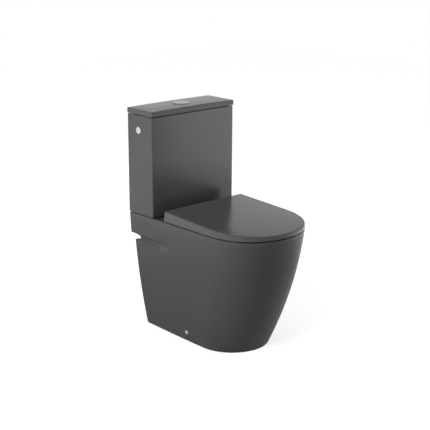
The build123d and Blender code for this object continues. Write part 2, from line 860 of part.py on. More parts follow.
def make_fill_fittings():
    washer = ring_of(fill_flange_radius - 1, shank_radius + 0.1, fill_washer_height)
    save("fill_valve_washer", Pos(fill_offset, fill_y, floor_level) * washer)
    nut = extrude(RegularPolygon(fill_nut_radius, 6), -fill_nut_height)
    nut -= hang(shank_radius + thread_clearance, fill_nut_height)
    save("fill_valve_nut", Pos(fill_offset, fill_y, cistern_base) * nut)


def make_float_cup():
    """Inverted cup that slides on the riser, with the link rod."""
    cup = stand(float_radius, float_height)
    cup = fillet(cup.edges().group_by(Axis.Z)[-1], 3)
    bore = riser_radius + tube_clearance
    cup -= stand(bore, float_height)
    cup -= ring_of(float_radius - float_wall, bore + float_wall, float_height - 4)
    rod_x = -float_arm
    nose_z = lever_z - float_travel / 2 - fill_flange_top - float_rest
    rod_top = nose_z + knob_gap + 3
    rod = Pos(rod_x, 0, float_height - 2) * stand(link_radius, rod_top - float_height + 2)
    knob = Pos(rod_x, 0, rod_top - 3) * stand(link_radius + 2, 3)
    collar = Pos(rod_x, 0, nose_z - knob_gap) * hang(link_radius + 2, 2)
    cup += rod + knob + collar
    return Pos(fill_offset, fill_y, fill_flange_top + float_rest) * cup


def make_float_lever():
    """Lever between the valve's ears, slotted round the link rod."""
    swing = math.degrees(math.asin(float_travel / 2 / float_arm))
    arm = Pos(6, 0, 0) * Box(
        float_arm + 14,
        float_lever_width,
        float_lever_thickness,
        align=(Align.MAX, Align.CENTER, Align.CENTER),
    )
    arm = fillet(arm.edges().filter_by(Axis.Z), 2.5)
    hub = Rot(90, 0, 0) * Cylinder(pin_radius + 1.5, float_lever_width)
    slot = Pos(-float_arm - 0.7, 0, 0) * extrude(
        SlotCenterToCenter(1.6, 2 * link_radius + 1.4), 5, both=True
    )
    bore = Rot(90, 0, 0) * Cylinder(pin_radius + running_clearance, 20)
    lever = Rot(0, -swing, 0) * (arm + hub - slot - bore)
    return Pos(fill_offset, fill_y, lever_z) * lever


def make_float_pin():
    length = float_lever_width + 8
    return Pos(fill_offset, fill_y, lever_z) * Rot(90, 0, 0) * Cylinder(pin_radius, length)


# ============================================================ side hole plugs
def make_side_plugs():
    """Domed caps, threaded through the unused side supply holes."""
    x = cistern_width / 2
    y = from_wall(side_hole_depth)
    head = stand(plug_head_radius, plug_head_height)
    head = fillet(head.edges().group_by(Axis.Z)[-1], plug_head_height * 0.6)
    stem_length = cistern_wall + plug_nut_height + 1.5
    plug = head + hang(plug_stem_radius, stem_length)
    plug -= Pos(0, 0, -2) * hang(plug_stem_radius - 2, stem_length)
    place = Pos(x, y, side_hole_z) * Rot(0, 90, 0)
    save("side_hole_plugs", *pair(place * plug))
    nut = extrude(RegularPolygon(plug_nut_radius, 6), -plug_nut_height)
    nut -= hang(plug_stem_radius + thread_clearance, plug_nut_height)
    save("side_hole_plug_nuts", *pair(place * Pos(0, 0, -cistern_wall) * nut))


# =============================================================== floor fixing
def make_floor_fixing():
    """Brackets inside the skirt, side screws and their caps."""
    y = from_wall(fixing_depth)
    outer = fixing_half_width()
    plate_x = skirt_half_width(0) - skirt_wall - bracket_gap
    upright = Box(
        bracket_plate,
        bracket_length,
        bracket_height,
        align=(Align.MAX, Align.CENTER, Align.MIN),
    )
    foot = Box(
        bracket_foot,
        bracket_length,
        bracket_foot_height,
        align=(Align.MAX, Align.CENTER, Align.MIN),
    )
    bracket = upright + foot
    bracket = fillet(bracket.edges().filter_by(Axis.X).group_by(Axis.Z)[-1], 12)
    thread = Pos(0, 0, fixing_height) * Rot(0, 90, 0)
    bracket -= thread * Cylinder(side_screw_radius + thread_clearance, 3 * bracket_plate)
    for side in (-1, 1):
        hole = Pos(-bracket_foot / 2 - 4, side * floor_hole_spacing / 2, 0)
        bracket -= hole * stand(floor_hole_radius, 2 * bracket_foot_height)
    save("floor_brackets", *pair(Pos(plate_x, y, 0) * bracket))

    recess_x = outer - fixing_recess_depth
    screw = stand(side_screw_head, 1.8) + hang(side_screw_radius, side_screw_length)
    place = Pos(recess_x, y, fixing_height) * Rot(0, 90, 0)
    save("side_screws", *pair(place * screw))
    cap = Pos(0, 0, 1.8) * stand(cap_radius, cap_height)
    cap = fillet(cap.edges().group_by(Axis.Z)[-1], cap_height * 0.5)
    save("side_screw_caps", *pair(place * cap))


# ======================================================================= seat
def seat_face(z, half_width, back, corner=0.0):
    """D-shaped seat section: straight sides, round front, square back."""
    centre_y = from_wall(overall_depth - cover_half_width)
    back_y = from_wall(back)
    r = half_width
    outline = round_front(r, centre_y, rim_fullness) + [
        Line((r, centre_y), (r, back_y - corner)),
        Line((r - corner, back_y), (corner - r, back_y)),
        Line((-r, back_y - corner), (-r, centre_y)),
    ]
    if corner:
        for x, start in ((r - corner, 0), (corner - r, 90)):
            middle = (x, back_y - corner)
            outline.append(CenterArc(middle, corner, start_angle=start, arc_size=90))
    return Pos(0, 0, z) * make_face(outline)


def slope_block(drop):
    """Everything below the cover's sloping top, lowered by drop."""
    y_back = from_wall(cover_back)
    back_z = seat_base + cover_back_height - drop
    front_z = back_z - cover_slope * (overall_depth - cover_back)
    margin = 60
    outline = Polyline(
        (y_back + margin, seat_base - 20),
        (y_back + margin, back_z + cover_slope * margin),
        (-wall_y - margin, front_z - cover_slope * margin),
        (-wall_y - margin, seat_base - 20),
        (y_back + margin, seat_base - 20),
    )
    half_span = cover_half_width + margin
    side = Plane.YZ.offset(-half_span) * make_face(outline)
    return extrude(side, 2 * half_span)


def make_seat_cover():
    """Wrap-over cover: sloping top, tapered skirt, open underneath."""
    tall = cover_back_height + 6
    lean = cover_taper * tall / cover_back_height
    outer = loft([
        seat_face(seat_base, cover_half_width, cover_back, cover_corner_radius),
        seat_face(seat_base + tall, cover_half_width - lean, cover_back, cover_corner_radius),
    ])
    outer &= slope_block(0)
    outer = fillet(outer.faces().sort_by(Axis.Z)[-1].edges(), cover_edge_radius)
    w = cover_wall
    inner = loft([
        seat_face(seat_base - 1, cover_half_width - w, cover_back + w, 3),
        seat_face(seat_base + tall, cover_half_width - w - lean, cover_back + w, 3),
    ])
    inner &= slope_block(w + 0.5)
    cover = outer - inner
    opening = Box(
        2 * (hinge_foot_radius + 2),
        4 * w,
        hinge_height - seat_lift + hinge_post_radius + 2.2,
        align=(Align.CENTER, Align.CENTER, Align.MIN),
    )
    for x in (-1, 1):
        cover -= Pos(x * hinge_spacing / 2, from_wall(cover_back), seat_base) * opening
    return cover


def lug(x_start, width):
    """Hinge knuckle round the pin, reaching up into the cover or ring."""
    knuckle = Rot(0, 90, 0) * stand(hinge_lug_radius, width)
    bore = Rot(0, 90, 0) * Pos(0, 0, -1) * stand(
        hinge_pin_radius + hinge_clearance, width + 2
    )
    return Pos(x_start, from_wall(hinge_depth), hinge_axis_z) * knuckle, Pos(
        x_start, from_wall(hinge_depth), hinge_axis_z
    ) * bore


def make_cover_lugs():
    """Knuckles outside the posts, bonded under the cover's top."""
    start = hinge_spacing / 2 + hinge_post_width / 2 + hinge_side_gap
    knuckle, bore = lug(start, hinge_lug_width)
    web = Pos(start, from_wall(hinge_depth), hinge_axis_z) * Box(
        hinge_lug_width,
        hinge_lug_radius + 6,
        40,
        align=(Align.MIN, Align.CENTER, Align.MIN),
    )
    web = Pos(0, -3, 0) * web & slope_block(cover_wall + 0.5)
    return pair(knuckle + web - bore)


def make_seat_ring():
    """Solid ring, wedge-shaped under the sloping cover."""
    half = cover_half_width - ring_inset
    plate = extrude(seat_face(seat_base, half, ring_back, 6), 40)
    plate &= slope_block(cover_wall + 0.5 + ring_gap)
    plate = fillet(plate.faces().sort_by(Axis.Z)[-1].edges(), ring_edge_radius)
    hole = extrude(
        egg_face(seat_base - 1, ring_hole_half_width, ring_hole_front, ring_hole_back), 40
    )
    plate -= hole
    inner_edges = [
        e
        for e in plate.edges()
        if abs(e.center().X) < 1
        and from_wall(ring_hole_front) - 5 < e.center().Y < from_wall(ring_hole_back) + 5
        and e.length > ring_hole_half_width
    ]
    plate = fillet(inner_edges, ring_edge_radius)
    inner_x = hinge_spacing / 2 - hinge_post_width / 2 - hinge_side_gap
    tongue = Pos(0, from_wall(hinge_depth), hinge_axis_z - tongue_drop) * Box(
        2 * inner_x,
        ring_back - hinge_depth + 15,
        tongue_drop + hinge_lug_radius,
        align=(Align.CENTER, Align.MAX, Align.MIN),
    )
    tongue &= slope_block(cover_wall + 0.5 + ring_gap)
    knuckle, bore = lug(inner_x - hinge_lug_width, hinge_lug_width)
    roll = Pos(-inner_x, from_wall(hinge_depth), hinge_axis_z) * Rot(0, 90, 0) * stand(
        hinge_lug_radius, 2 * inner_x
    )
    return plate + tongue + roll - pair(bore)


def buffer_spots():
    """Middles of the rear and front buffers on the right-hand side."""
    reach = cover_half_width - buffer_inset
    turn = math.radians(buffer_turn)
    front_middle = overall_depth - cover_half_width
    rear = Pos(reach, from_wall(ring_hole_back + ring_back_width / 2), seat_base)
    front = Pos(
        reach * math.cos(turn),
        from_wall(front_middle + reach * math.sin(turn)),
        seat_base,
    )
    return [rear, front]


def make_ring_buffers():
    """Rubber feet under the ring, resting on the rim."""
    foot = hang(buffer_radius, seat_lift - rest_gap)
    feet = [spot * foot for spot in buffer_spots()]
    return feet + [mirror(f, Plane.YZ) for f in feet]


def make_cover_buffers():
    """Thin rubber pads between cover and ring."""
    pads = []
    for spot in buffer_spots():
        column = spot * stand(buffer_radius - 1, 60)
        column &= slope_block(cover_wall + 0.5)
        pads.append(column - slope_block(cover_wall + 0.5 + ring_gap - rest_gap))
    return pads + [mirror(p, Plane.YZ) for p in pads]


def make_hinge_hardware():
    """Posts, pins, cone washers and wing nuts of the seat hinge."""
    x = hinge_spacing / 2
    y = from_wall(hinge_depth)
    foot = stand(hinge_foot_radius, hinge_foot_height)
    upright = Box(
        hinge_post_width,
        2 * hinge_post_radius,
        hinge_height,
        align=(Align.CENTER, Align.CENTER, Align.MIN),
    )
    eye = Pos(0, 0, hinge_height) * Rot(0, 90, 0)
    post = foot + upright + eye * Cylinder(hinge_post_radius, hinge_post_width)
    post += hang(hinge_stud_radius, hinge_stud_length)
    post -= eye * Cylinder(hinge_pin_radius + hinge_clearance / 2, 2 * hinge_post_width)
    save("hinge_posts", *pair(Pos(x, y, pan_height) * post))
    pin = Cylinder(hinge_pin_radius, hinge_post_width + 2 * hinge_pin_reach)
    pin = chamfer(pin.edges(), 0.5)
    save("hinge_pins", *pair(Pos(x, y, hinge_axis_z) * Rot(0, 90, 0) * pin))
    cone = Cone(
        cone_washer_radius - 3,
        cone_washer_radius,
        cone_washer_height,
        align=(Align.CENTER, Align.CENTER, Align.MAX),
    )
    cone -= hang(hinge_stud_radius + thread_clearance, cone_washer_height)
    save("hinge_cone_washers", *pair(Pos(x, y, deck_under) * cone))
    nut = wing_nut(hinge_stud_radius + thread_clearance)
    save("hinge_wing_nuts", *pair(Pos(x, y, deck_under - cone_washer_height) * nut))


# ==================================================================== buttons
def make_button_housing():
    """Flanged cup through the lid, with guide holes for the rods."""
    top = housing_stand
    flange = ring_of(housing_radius, cup_radius - cup_wall, top)
    flange = fillet(flange.edges().group_by(Axis.Z)[-1].sort_by(SortBy.LENGTH)[-1], 1.2)
    cup = hang(cup_radius, cup_depth) - hang(cup_radius - cup_wall, cup_depth - cup_floor)
    body = flange + cup
    for x in (full_rod_x, half_rod_x):
        body -= Pos(x, 0, 0) * hang(push_rod_radius + 0.4, 2 * cup_depth)
    return Pos(0, button_y, lid_top) * body


def make_housing_nut():
    nut = hang(housing_nut_radius, housing_nut_height)
    nut -= hang(cup_radius + thread_clearance, housing_nut_height)
    grip = Pos(housing_nut_radius + 1.5, 0, 0) * hang(4, housing_nut_height)
    for k in range(8):
        nut -= Rot(0, 0, 45 * k) * grip
    return Pos(0, button_y, lid_base + lid_height - lid_crown - lid_plate) * nut


def make_button(side):
    """One part of the split round button; side -1 is the full flush."""
    disc = hang(button_radius, button_height)
    reach = 4 * button_radius
    edge = Align.MAX if side < 0 else Align.MIN
    keep = Box(reach, reach, reach, align=(edge, Align.CENTER, Align.CENTER))
    disc &= Pos(button_split + side * split_gap / 2, 0, 0) * keep
    disc = fillet(disc.faces().sort_by(Axis.Z)[-1].edges(), 0.8)
    return Pos(0, button_y, lid_top + housing_stand + button_stand) * disc


def make_push_rod(rod_x):
    """Rod from the button's underside to just above its lever."""
    top = lid_top + housing_stand + button_stand - button_height
    bottom = lever_axis_z + lever_radius + lever_gap
    rod = stand(push_rod_radius, top - bottom)
    rod = fillet(rod.edges().group_by(Axis.Z)[0], push_rod_radius - 0.05)
    rod += Pos(0, 0, top - bottom) * hang(push_rod_radius + 3, 2)
    return Pos(rod_x, button_y, bottom) * rod


if __name__ == "__main__":
    os.makedirs("parts", exist_ok=True)
    save("pan", make_pan())
    save("cistern", make_cistern())
    save("cistern_lid", make_lid())
    save("lid_pads", *make_lid_pads())
    save("coupling_gasket", make_gasket())
    make_coupling()
    save("flush_valve_body", make_flush_valve())
    make_flush_valve_fittings()
    save("lever_bracket", make_lever_bracket())
    pin = Rot(0, 90, 0) * Cylinder(pin_radius, post_spread + 2 * post_width)
    save("lever_pin", Pos(0, button_y - press_arm, lever_axis_z) * pin)
    save("full_lever", make_lever(full_rod_x))
    save("half_lever", make_lever(half_rod_x))
    save("overflow_tube", make_overflow_tube())
    save("flush_seal", make_flush_seal())
    save("fill_valve_body", make_fill_valve())
    make_fill_fittings()
    save("float_cup", make_float_cup())
    save("float_lever", make_float_lever())
    save("float_pin", make_float_pin())
    make_side_plugs()
    make_floor_fixing()
    save("seat_cover", make_seat_cover())
    save("cover_lugs", *make_cover_lugs())
    save("seat_ring", make_seat_ring())
    save("ring_buffers", *make_ring_buffers())
    save("cover_buffers", *make_cover_buffers())
    make_hinge_hardware()
    save("button_housing", make_button_housing())
    save("housing_nut", make_housing_nut())
    save("full_button", make_button(-1))
    save("half_button", make_button(1))
    save("full_push_rod", make_push_rod(full_rod_x))
    save("half_push_rod", make_push_rod(half_rod_x))
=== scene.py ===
# %% [markdown]
# # A close coupled toilet in matt dark grey
#
# The CAD model already holds every rigid piece at its real size.  This script
# loads it as a fixed frame, gives each piece the finish that it has on the
# real product, and sets up a small white studio round it.  No piece is added:
# the shapes are all in the solids, so what is left to do is looks.

# %% load the frame
import math

import bmesh
import bpy
from mathutils import Matrix, Vector

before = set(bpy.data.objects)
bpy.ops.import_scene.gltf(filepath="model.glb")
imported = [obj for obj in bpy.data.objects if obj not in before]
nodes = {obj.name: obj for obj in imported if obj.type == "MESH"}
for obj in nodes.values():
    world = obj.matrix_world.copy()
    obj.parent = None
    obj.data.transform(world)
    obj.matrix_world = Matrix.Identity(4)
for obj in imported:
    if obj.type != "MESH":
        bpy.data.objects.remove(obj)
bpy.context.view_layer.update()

# %% [markdown]
# ## Smooth shading
#
# The solids arrive as loose triangles.  Welding their corners and splitting
# only the sharp edges lets the big skirt curve shade as one surface, while
# the rims of holes stay crisp.  Both are modifiers, so the solids themselves
# aren't touched.

# %% weld and split
SHARP_ANGLE = math.radians(32)
SAME_CORNER = 1e-6  # corners nearer than this, in metres, are one


def smooth_solid(piece):
    """Shade a CAD node smoothly between its sharp edges."""
    weld = piece.modifiers.new("weld corners", "WELD")
    weld.merge_threshold = SAME_CORNER
    split = piece.modifiers.new("keep sharp edges", "EDGE_SPLIT")
    split.split_angle = SHARP_ANGLE
    piece.data.shade_smooth()


for node in nodes.values():
    smooth_solid(node)
print("smoothed", len(nodes), "solids")

# %% [markdown]
# ## Writing shaders as sums
#
# A finish is a small calculation over the surface.  Wrapping a socket in a
# class with operators lets that calculation read as arithmetic: each sum,
# difference or product adds one Math node.  The reflected forms are there so
# that a plain number may stand on the left, as in 1 - mask.


# %% arithmetic on sockets
class Value:
    """A socket in a node tree that can be added, multiplied and so on."""

    def __init__(self, tree, socket):
        self.tree = tree
        self.socket = socket

    def _math(self, operation, *terms):
        joined = self.tree.nodes.new("ShaderNodeMath")
        joined.operation = operation
        for slot, term in zip(joined.inputs, terms):
            if isinstance(term, Value):
                self.tree.links.new(term.socket, slot)
            else:
                slot.default_value = term
        return Value(self.tree, joined.outputs[0])

    def __add__(self, other):
        return self._math("ADD", self, other)

    __radd__ = __add__

    def __sub__(self, other):
        return self._math("SUBTRACT", self, other)

    def __rsub__(self, other):
        return self._math("SUBTRACT", other, self)

    def __mul__(self, other):
        return self._math("MULTIPLY", self, other)

    __rmul__ = __mul__


print("reflected forms", [name for name in vars(Value) if name.startswith("__r")])

# %% [markdown]
# ## One method for every other node
#
# Every other node needs the same three things: its settings, which come
# first because they can change its sockets, then what goes into those
# sockets, then the output that is wanted.  One method does all of that.  A
# socket is asked for by its name with _ for each space, or by its identifier
# where a node has several sockets of one name, as Mix has.


# %% a node tree being filled in
def pick(sockets, key):
    """Find a socket by its identifier or name, with _ for each space."""
    for socket in sockets:
        if key in (socket.identifier, socket.identifier.replace(" ", "_")):
            return socket
    return sockets[key.replace("_", " ")]


class Sheet:
    """A node tree, such as a material's or the world's."""

    def __init__(self, tree):
        self.tree = tree

    def link(self, term, slot):
        """Send a value or a constant into a socket."""
        if isinstance(term, Value):
            self.tree.links.new(term.socket, slot)
        else:
            slot.default_value = term

    def node(self, kind, settings=None, output=0, **sockets):
        """Add any node: its settings first, then its sockets by name."""
        made = self.tree.nodes.new(kind)
        for key, setting in (settings or {}).items():
            setattr(made, key, setting)
        for key, term in sockets.items():
            self.link(term, pick(made.inputs, key))
        return Value(self.tree, made.outputs[output])

    def rays(self, first, *others):
        """1 for the kinds of ray that are named, otherwise 0."""
        total = self.node("ShaderNodeLightPath", output=first)
        for kind in others:
            total = total + self.node("ShaderNodeLightPath", output=kind)
        return total


print("ready to fill in node trees")

# %% [markdown]
# ## A material under construction
#
# The patterns are all read from Object coordinates, so they stay on the
# surface at their real size in metres, wherever the piece moves.  Two colours
# are blended by a Mix node, because a Math node would turn them grey.


# %% a finish
class Finish(Sheet):
    """A material with one Principled shader."""

    def __init__(self, name):
        self.material = bpy.data.materials.new(name)
        self.material.use_nodes = True
        super().__init__(self.material.node_tree)
        self.shader = self.tree.nodes["Principled BSDF"]

    def place(self):
        """The point on the surface, in metres."""
        return self.node("ShaderNodeTexCoord", output="Object")

    def stretch(self, scale):
        """The point with each axis scaled, for brushed or drawn marks."""
        return self.node("ShaderNodeMapping", Vector=self.place(), Scale=scale)

    def noise(self, scale, detail=2.0, roughness=0.5, vector=None):
        """Soft random cloud from 0 to 1, with about scale lumps in a metre."""
        return self.node(
            "ShaderNodeTexNoise",
            Vector=vector or self.place(),
            Scale=scale,
            Detail=detail,
            Roughness=roughness,
        )

    def fade(self, term, start, end):
        """0 where the term is at start or before, 1 where it is past end."""
        return self.node(
            "ShaderNodeMapRange",
            {"interpolation_type": "SMOOTHSTEP"},
            Value=term,
            From_Min=start,
            From_Max=end,
        )

    def tint(self, mask, low, high):
        """Blend two colours, or colour values, by a mask."""
        low, high = (c if isinstance(c, Value) else (*c, 1) for c in (low, high))
        return self.node(
            "ShaderNodeMix",
            {"data_type": "RGBA"},
            output=2,
            Factor_Float=mask,
            A_Color=low,
            B_Color=high,
        )

    def bump(self, height, strength, distance):
        """Turn a height pattern into a normal; distance is in metres."""
        return self.node(
            "ShaderNodeBump", Height=height, Strength=strength, Distance=distance
        )

    def set(self, **sockets):
        """Constants and links on the shader's own sockets."""
        for key, term in sockets.items():
            self.link(term, pick(self.shader.inputs, key))


print("ready to make finishes")

# %% [markdown]
# No real surface has exactly one colour or one roughness, so every finish
# wanders a little to both sides of its own.  It goes on a piece by filling
# the piece's material slots, which leaves the shape alone.


# %% helpers for finishes
def shades(tone, spread):
    """One colour made a little darker and a little lighter."""
    darker = [c * (1 - spread) for c in tone]
    lighter = [min(1.0, c * (1 + spread)) for c in tone]
    return darker, lighter


def around(middle, span, mask):
    """A number that wanders to both sides of its middle as the mask does."""
    return mask * span + (middle - span / 2)


def wear(finish, *names):
    """Give CAD nodes a finish."""
    for name in names:
        slots = nodes[name].data.materials
        slots.clear()
        slots.append(finish.material)
    print(finish.material.name, "on", ", ".join(names))


print("mid grey varies from", *shades((0.5, 0.5, 0.5), 0.05))

# %% [markdown]
# ## The matt glaze
#
# Dark matt glaze isn't one flat grey.  It pools a little, so its tone drifts
# over a hand's width, its sheen drifts with it, and the surface keeps the
# faint orange peel of sprayed glaze.  The drift stays within a few percent,
# because anything stronger reads as stone.  The lid's glaze is the tank's
# glaze painted a touch paler, as painted light for its top, and a touch duller.

# %% glaze
# How many lumps each pattern has in a metre.
HAND_DRIFT, FINGER_DRIFT, ORANGE_PEEL, SPECKS = 7.0, 24.0, 260.0, 900.0
SKIN_DEPTH = 0.0002
# How dark the painted shade in the finger grooves is, and how much of it shows.
GROOVE_SHADE_TONE, GROOVE_SHADE_SHARE = 0.5, 0.8
TANK_GREY = (0.048, 0.048, 0.049)
# The lid's grey is the tank's grey painted paler, as painted light on its top.
LID_GREY_WITH_PAINTED_LIGHT = (0.072, 0.072, 0.073)


def matt_glaze(name, tone, roughness, shine, peel, groove_shade=None):
    """Drifting tone, faint orange peel and, where asked, painted shade in grooves."""
    finish = Finish(name)
    drift = finish.noise(HAND_DRIFT, detail=3.0, roughness=0.55)
    specks = finish.noise(SPECKS, roughness=0.6)
    skin = finish.noise(ORANGE_PEEL) * 0.7 + specks * 0.3
    colour = finish.tint(drift * 0.8 + specks * 0.2, *shades(tone, 0.04))
    # Where a mask is given, the glaze is painted darker there, as painted shade.
    if groove_shade:
        painted_groove_shade = [c * GROOVE_SHADE_TONE for c in tone]
        colour = finish.tint(groove_shade(finish) * GROOVE_SHADE_SHARE, colour, painted_groove_shade)
    finish.set(
        Base_Color=colour,
        Roughness=around(roughness, 0.02, finish.noise(FINGER_DRIFT)),
        Specular_IOR_Level=shine,
        Normal=finish.bump(skin, strength=peel, distance=SKIN_DEPTH),
    )
    return finish


wear(
    matt_glaze("matt grey glaze", TANK_GREY, roughness=0.22, shine=0.32, peel=0.03),
    "cistern",
)
wear(
    matt_glaze("matt lid glaze with painted light", LID_GREY_WITH_PAINTED_LIGHT, roughness=0.24, shine=0.18, peel=0.03),
    "cistern_lid",
)

# %% [markdown]
# On the pan the glaze is painted darker along the finger grooves on both
# sides, as painted shade.  The grooves themselves are cut in the solid.  The
# mask follows their height, which is the same on both sides, and fades out
# towards the front where they end.

# %% glaze with painted groove shade
GROOVE_HEIGHT, GROOVE_HALF = 0.3295, 0.013
GROOVE_CORE = GROOVE_HALF * 0.4
GROOVE_END, GROOVE_FULL = 0.09, 0.17


def groove_shade_mask(finish):
    """1 along the grooves, where shade is painted, 0 everywhere else."""
    y = finish.node("ShaderNodeSeparateXYZ", output="Y", Vector=finish.place())
    z = finish.node("ShaderNodeSeparateXYZ", output="Z", Vector=finish.place())
    off_line = finish.node(
        "ShaderNodeMath", {"operation": "ABSOLUTE"}, Value=z - GROOVE_HEIGHT
    )
    along = finish.fade(y, GROOVE_END, GROOVE_FULL)
    return along * (1 - finish.fade(off_line, GROOVE_CORE, GROOVE_HALF))


pan_glaze = matt_glaze(
    "grey glaze with painted groove shade",
    TANK_GREY,
    roughness=0.22,
    shine=0.32,
    peel=0.03,
    groove_shade=groove_shade_mask,
)
wear(pan_glaze, "pan")

# %% [markdown]
# ## The seat's moulded resin
#
# Seat and cover are pressed from thermoset resin.  The mould leaves a skin
# that is a shade smoother than the glaze, so the tank shows in it as a soft
# reflection.  The resin itself is a little paler, and it shines less.

# %% seat resin
RESIN_GREY = (0.064, 0.064, 0.065)
resin = matt_glaze(
    "moulded seat resin", RESIN_GREY, roughness=0.20, shine=0.23, peel=0.015
)
wear(resin, "seat_ring", "seat_cover", "cover_lugs")

# %% [markdown]
# ## Chrome
#
# The caps and the push button are plastic with a chrome skin.  A noise that
# is squeezed along one axis gives the hair-fine marks of wiping.  The two
# kinds of cap are polished, and the button, which fingers touch, is satin.

# %% chrome
WIPING, WIPED_AXIS = 60.0, (1.0, 14.0, 1.0)
METAL_DEPTH = 0.0001


def chrome(name, tone, roughness):
    """Chromed plastic: a clean skin with hair-fine wiping marks."""
    finish = Finish(name)
    wiped = finish.stretch(WIPED_AXIS)
    marks = finish.noise(WIPING, detail=4.0, roughness=0.6, vector=wiped)
    finish.set(
        Base_Color=finish.tint(marks, *shades(tone, 0.05)),
        Metallic=1.0,
        Roughness=around(roughness, 0.10, marks),
        Normal=finish.bump(marks, strength=0.04, distance=METAL_DEPTH),
    )
    return finish


# The side plugs' chrome is a darker copy of the caps' chrome, painted darker as shade.
wear(chrome("chrome painted darker", (0.50, 0.50, 0.505), roughness=0.25), "side_hole_plugs")
wear(chrome("cap chrome", (0.90, 0.90, 0.905), roughness=0.14), "side_screw_caps")
wear(
    chrome("satin chrome", (0.35, 0.35, 0.355), roughness=0.34),
    "full_button",
    "half_button",
    "button_housing",
)

# %% [markdown]
# ## Plated steel
#
# Bolts, screws and hinge pins are zinc plated.  Zinc dulls as it ages, in a
# cloudy yellow-grey bloom, so one noise drives both the tint and the
# roughness: where the bloom is, the metal is paler and duller.

# %% plated steel
BLOOM = 120.0
BARE_ZINC, BLOOMED_ZINC = (0.47, 0.46, 0.42), (0.62, 0.61, 0.58)


def plated_steel():
    """Zinc plating with a cloudy bloom."""
    finish = Finish("zinc plated steel")
    bloom = finish.noise(BLOOM, detail=4.0, roughness=0.65)
    finish.set(
        Base_Color=finish.tint(bloom, BARE_ZINC, BLOOMED_ZINC),
        Metallic=1.0,
        Roughness=around(0.39, 0.18, bloom),
        Normal=finish.bump(bloom, strength=0.08, distance=METAL_DEPTH),
    )
    return finish


wear(
    plated_steel(),
    "coupling_bolts",
    "coupling_wing_nuts",
    "coupling_plate_washers",
    "side_screws",
    "lever_pin",
    "float_pin",
    "hinge_wing_nuts",
    "hinge_posts",
    "hinge_pins",
)

# %% [markdown]
# ## Seal rubber
#
# Seals, cone washers and buffers are matt black rubber.  A dusty bloom makes
# it greyer in patches, and a fine grain keeps its dull shine from looking
# like paint.

# %% rubber
DUST, RUBBER_GRAIN = 90.0, 700.0
CLEAN_RUBBER, DUSTY_RUBBER = (0.022, 0.022, 0.022), (0.040, 0.040, 0.039)


def rubber_finish():
    """Matt black rubber with a dusty bloom."""
    finish = Finish("seal rubber")
    bloom = finish.noise(DUST, detail=3.0, roughness=0.6)
    grain = finish.noise(RUBBER_GRAIN)
    finish.set(
        Base_Color=finish.tint(bloom, CLEAN_RUBBER, DUSTY_RUBBER),
        Roughness=around(0.695, 0.15, bloom),
        Normal=finish.bump(grain, strength=0.15, distance=SKIN_DEPTH),
    )
    return finish


wear(
    rubber_finish(),
    "coupling_gasket",
    "coupling_cone_washers",
    "hinge_cone_washers",
    "flush_valve_washer",
    "fill_valve_washer",
    "flush_seal",
    "ring_buffers",
    "cover_buffers",
    "lid_pads",
)

# %% [markdown]
# ## Valve plastics
#
# The valves inside the tank are moulded in white, and their working parts in
# blue, so that a plumber sees at once what moves.  Both have the slight cloud
# of injected plastic and the fine texture of the mould.

# %% valve plastics
CLOUD, MOULD_GRAIN = 40.0, 600.0


def moulded(name, tone, roughness):
    """Injected plastic: slightly cloudy, with the grain of its mould."""
    finish = Finish(name)
    cloud = finish.noise(CLOUD, detail=3.0)
    grain = finish.noise(MOULD_GRAIN)
    finish.set(
        Base_Color=finish.tint(cloud, *shades(tone, 0.05)),
        Roughness=around(roughness, 0.08, cloud),
        Normal=finish.bump(grain, strength=0.08, distance=SKIN_DEPTH),
    )
    return finish


wear(
    moulded("white valve plastic", (0.78, 0.78, 0.76), roughness=0.40),
    "flush_valve_body",
    "flush_valve_nut",
    "lever_bracket",
    "fill_valve_body",
    "fill_valve_nut",
    "side_hole_plug_nuts",
    "floor_brackets",
    "housing_nut",
    "full_push_rod",
    "half_push_rod",
)
wear(
    moulded("blue valve plastic", (0.10, 0.24, 0.52), roughness=0.38),
    "overflow_tube",
    "float_cup",
    "float_lever",
    "full_lever",
    "half_lever",
)

# %% [markdown]
# ## The floor
#
# A product studio has a pale sweep that looks plain white.  More light would
# make it white, but would bleach the piece too.  So the floor glows only for
# the rays that look at it, and gives no light of its own.  Close to the piece
# the glow is weaker, which lets its soft shadow show, and it rises to white
# further out.
#
# In a reflection the floor close to the piece doesn't glow at all, and
# further out it is white.  The skirt mirrors that change, so it is dark low
# down and in front, and paler where it faces further out.

# %% floor finish
FLOOR_GREY = (0.6, 0.6, 0.6, 1)
NEAR, FAR = 0.5, 2.2  # metres from the middle of the piece
NEAR_GLOW, FAR_GLOW = 0.64, 0.99
BLACK, WHITE = (0, 0, 0), (1, 1, 1)
SEEN = ("Is Camera Ray", "Is Transmission Ray")
MIRRORED = "Is Glossy Ray"


def floor_finish():
    """White to the eye and in reflections; near the piece it keeps the shadow."""
    finish = Finish("pale floor")
    away = finish.node(
        "ShaderNodeVectorMath", {"operation": "LENGTH"}, output=1, Vector=finish.place()
    )
    rise = finish.fade(away, NEAR, FAR)
    seen = finish.rays(*SEEN) * (rise * (FAR_GLOW - NEAR_GLOW) + NEAR_GLOW)
    mirrored = finish.rays(MIRRORED) * rise
    finish.set(
        Base_Color=FLOOR_GREY,
        Roughness=0.9,
        Specular_IOR_Level=0.0,
        Emission_Color=finish.tint(seen + mirrored, BLACK, WHITE),
        Emission_Strength=1.0,
    )
    return finish


pale_floor = floor_finish()
print("made", pale_floor.material.name)

# %% [markdown]
# The floor itself is one flat square.  Its edge lies far out, where floor and
# surround are equally white, so it can't be made out.

# %% floor
FLOOR_HALF = 6.0


